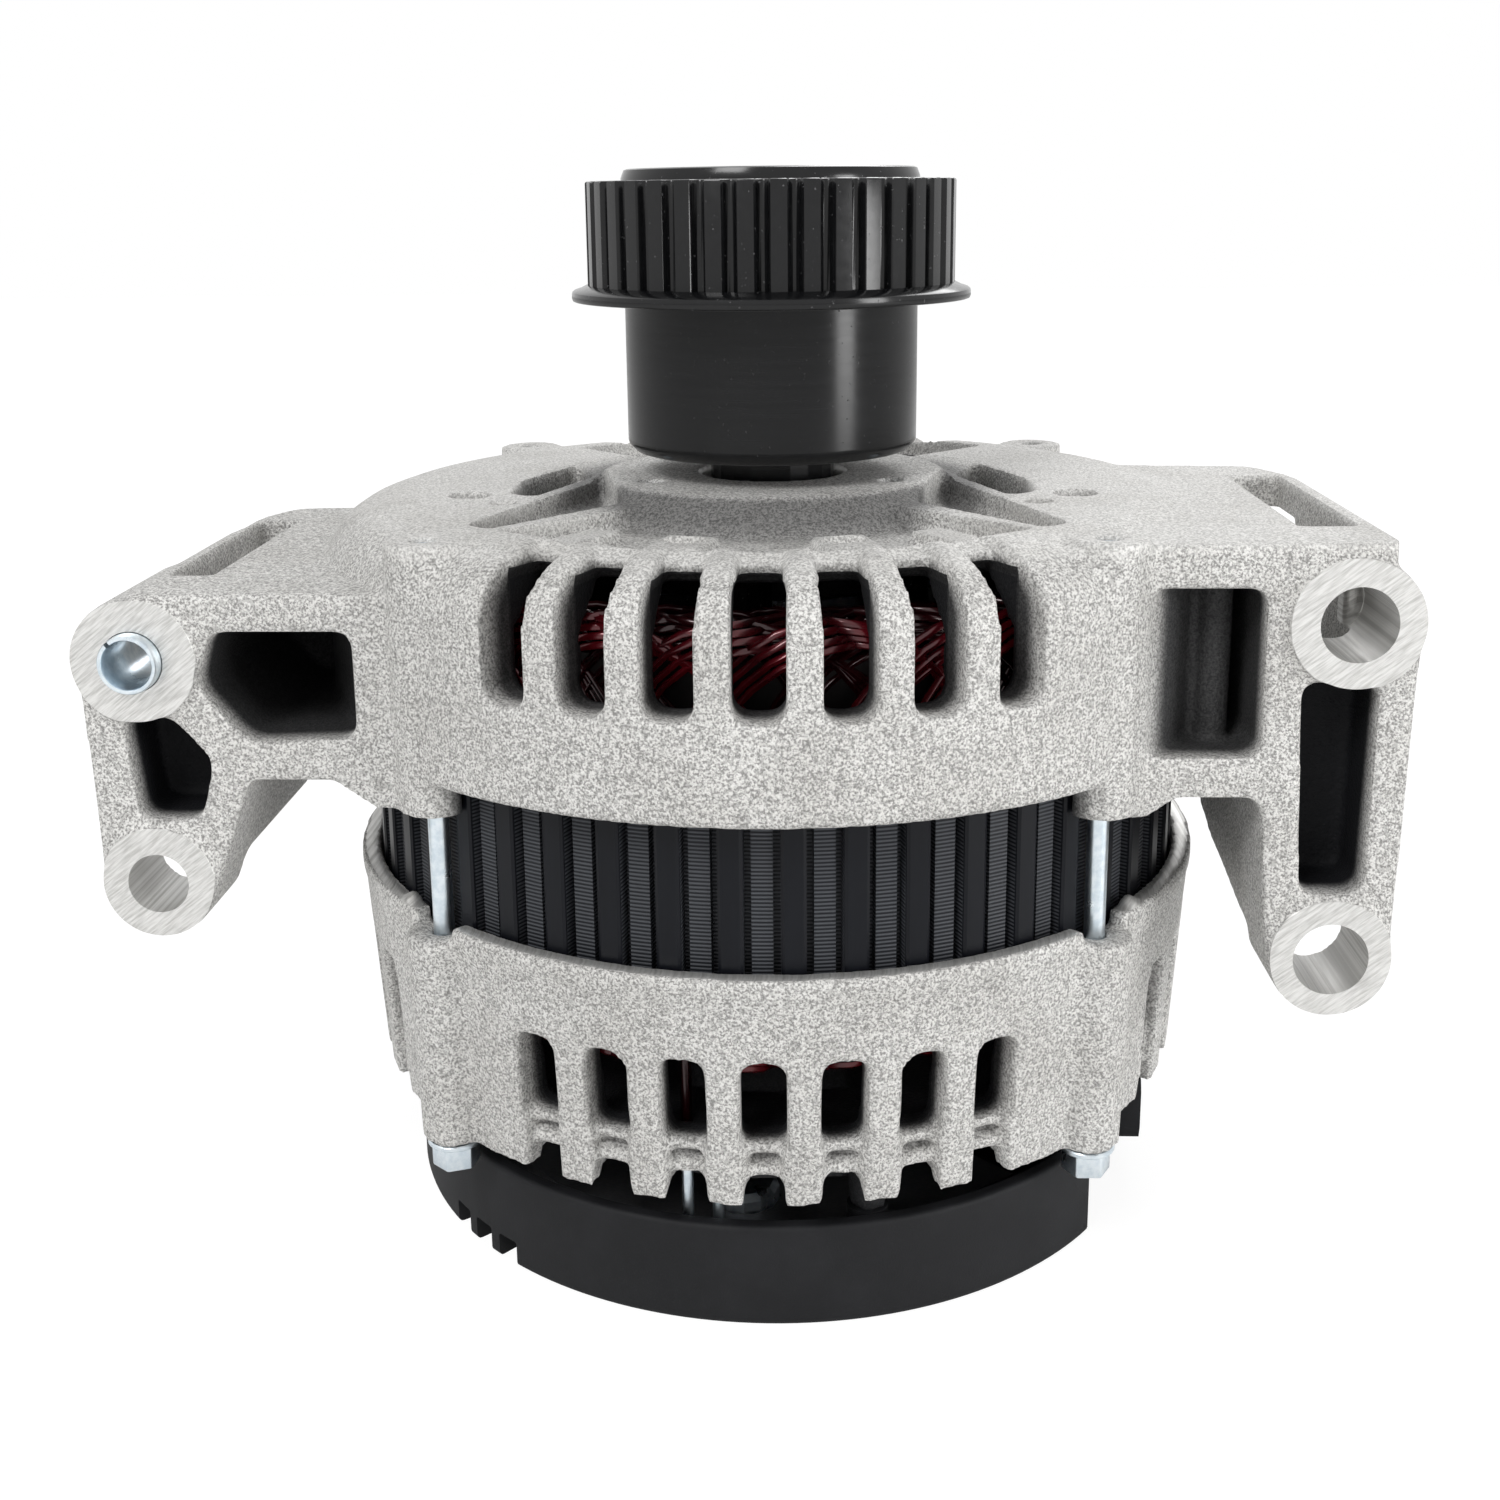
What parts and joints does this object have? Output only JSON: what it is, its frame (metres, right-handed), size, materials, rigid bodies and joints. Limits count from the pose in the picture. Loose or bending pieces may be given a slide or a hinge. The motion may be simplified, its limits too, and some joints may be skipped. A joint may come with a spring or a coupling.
{
  "type": "vehicle alternator",
  "caption": "Vehicle alternator: cast aluminium brackets with side mounting arms round a wound stator, claw pole rotor, toothed freewheel pulley and black rear cover.",
  "frame": {"origin": "on the shaft axis, at the flat underside of the rear cover that the part stands on", "axes": "+Z along the shaft towards the pulley, -Y towards the face of the mounting bosses, +X towards the longer arm"},
  "size_m": [0.2084, 0.1578, 0.1801],
  "materials": {
    "cast_aluminium": "sand cast, machined on the boss faces",
    "zinc_steel": "zinc plated",
    "lamination_steel": "varnished laminations",
    "enamelled_wire": "glossy wire enamel",
    "bright_steel": "ground",
    "forged_iron": "forged",
    "copper": "bare metal",
    "black_steel": "black oxide, oiled",
    "black_plastic": "fine matte",
    "carbon": "pressed carbon",
    "sheet_aluminium": "pressed sheet"
  },
  "bodies": {
    "housing": {"drive_end_bracket": "cast_aluminium", "slip_ring_end_bracket": "cast_aluminium", "stator_core": "lamination_steel", "stator_winding": "enamelled_wire", "through_bolt_1": "zinc_steel", "through_bolt_2": "zinc_steel", "through_bolt_3": "zinc_steel", "through_bolt_4": "zinc_steel", "bearing_retainer": "zinc_steel", "retainer_screw_1": "zinc_steel", "retainer_screw_2": "zinc_steel", "retainer_screw_3": "zinc_steel", "front_bearing_outer_race": "bright_steel", "rear_bearing_outer_race": "bright_steel", "positive_heat_sink": "sheet_aluminium", "negative_heat_sink": "sheet_aluminium", "diode_1": "zinc_steel", "diode_2": "zinc_steel", "diode_3": "zinc_steel", "diode_4": "zinc_steel", "diode_5": "zinc_steel", "diode_6": "zinc_steel", "terminal_board": "black_plastic", "rectifier_screw_1": "zinc_steel", "rectifier_screw_2": "zinc_steel", "rectifier_screw_3": "zinc_steel", "brush_holder": "black_plastic", "brush_spring_lower": "bright_steel", "brush_spring_upper": "bright_steel", "voltage_regulator": "black_plastic", "plug_socket": "black_plastic", "output_stud": "zinc_steel", "output_nut": "zinc_steel", "rear_cover": "black_plastic", "cover_screw_1": "zinc_steel", "cover_screw_2": "zinc_steel", "cover_screw_3": "zinc_steel"},
    "rotor": {"rotor_shaft": "bright_steel", "front_claw_pole": "forged_iron", "rear_claw_pole": "forged_iron", "rotor_yoke": "forged_iron", "field_coil": "copper", "front_fan": "black_steel", "rear_fan": "black_steel", "slip_ring_carrier": "black_plastic", "slip_ring_lower": "copper", "slip_ring_upper": "copper", "front_bearing_inner_race": "bright_steel", "rear_bearing_inner_race": "bright_steel", "pulley_hub": "bright_steel", "pulley_bush_lower": "bright_steel", "pulley_bush_upper": "bright_steel", "clutch_rollers": "bright_steel"},
    "pulley": {"pulley_ring": "black_steel", "pulley_end_cap": "black_plastic"},
    "front_cage": {"front_bearing_cage": "bright_steel"},
    "rear_cage": {"rear_bearing_cage": "bright_steel"},
    "brush_lower": {"brush_lower": "carbon"},
    "brush_upper": {"brush_upper": "carbon"},
    "sleeve": {"adjusting_sleeve": "zinc_steel"}
  },
  "joints": [
    {"name": "rotor_spin", "type": "hinge", "parent": "housing", "child": "rotor", "pos_m": [0, 0, 0.09], "axis": [0, 0, 1], "continuous": true},
    {"name": "pulley_overrun", "type": "hinge", "parent": "rotor", "child": "pulley", "pos_m": [0, 0, 0.155], "axis": [0, 0, 1], "continuous": true},
    {"name": "front_cage_spin", "type": "hinge", "parent": "housing", "child": "front_cage", "pos_m": [0, 0, 0.116], "axis": [0, 0, 1], "continuous": true},
    {"name": "rear_cage_spin", "type": "hinge", "parent": "housing", "child": "rear_cage", "pos_m": [0, 0, 0.0375], "axis": [0, 0, 1], "continuous": true},
    {"name": "brush_lower_slide", "type": "slide", "parent": "housing", "child": "brush_lower", "axis": [1, 0, 0], "range_m": [0, 0.005], "stiffness_N_per_m": 100, "springref_m": -0.01},
    {"name": "brush_upper_slide", "type": "slide", "parent": "housing", "child": "brush_upper", "axis": [1, 0, 0], "range_m": [0, 0.005], "stiffness_N_per_m": 100, "springref_m": -0.01},
    {"name": "sleeve_slide", "type": "slide", "parent": "housing", "child": "sleeve", "axis": [0, 1, 0], "range_m": [0, 0.0022]}
  ],
  "couplings": [
    {"joint": "front_cage_spin", "follows": "rotor_spin", "ratio": 0.4},
    {"joint": "rear_cage_spin", "follows": "rotor_spin", "ratio": 0.4}
  ]
}
